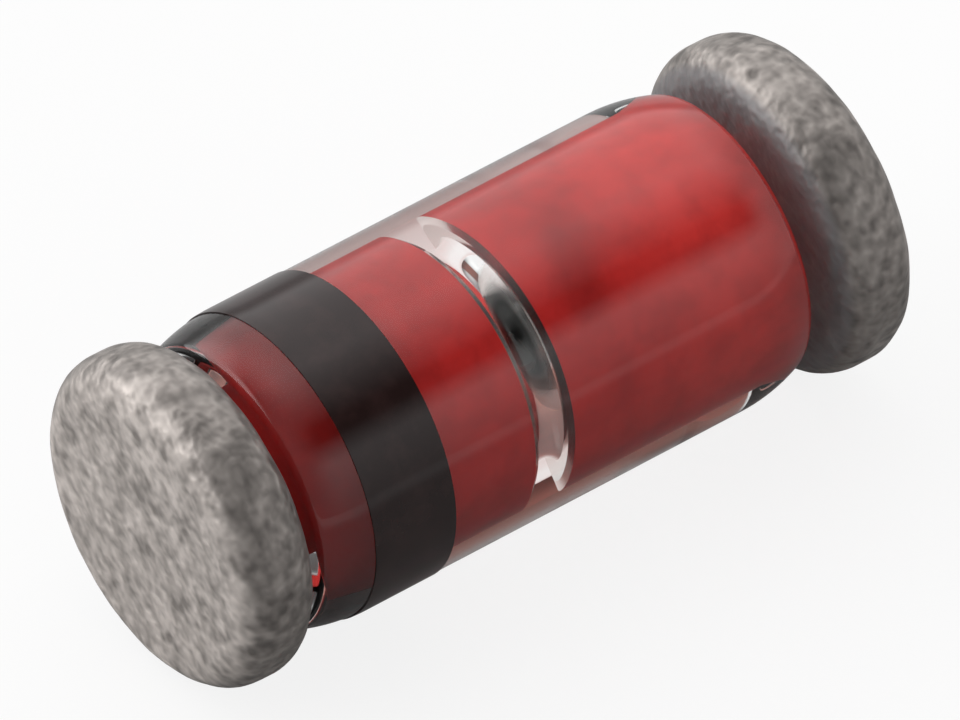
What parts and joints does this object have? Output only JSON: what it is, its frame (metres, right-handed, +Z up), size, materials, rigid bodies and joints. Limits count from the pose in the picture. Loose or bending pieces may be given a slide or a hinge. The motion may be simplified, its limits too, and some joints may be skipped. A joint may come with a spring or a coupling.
{
  "type": "zener diode",
  "caption": "Clear glass surface-mount zener diode with red slugs sealed inside, a black cathode band and tinned end discs.",
  "frame": {"origin": "on the board, under the middle of the body", "axes": "+X along the body from its cathode end to its anode end, +Z up from the board"},
  "size_m": [0.0036, 0.0016, 0.0015],
  "materials": {
    "clear_glass": "clear, fire-polished",
    "tinned_metal": "matte tin plating with fine scratches",
    "red_slug": "red oxide on copper cladding",
    "silicon": "diced, dark grey",
    "silver": "plated, satin",
    "black_ink": "printed and baked ink"
  },
  "bodies": {
    "root": {"glass_sleeve": "clear_glass", "cathode_disc": "tinned_metal", "anode_disc": "tinned_metal", "cathode_slug": "red_slug", "anode_slug": "red_slug", "diode_chip": "silicon", "contact_bump": "silver", "cathode_band": "black_ink"}
  },
  "joints": []
}
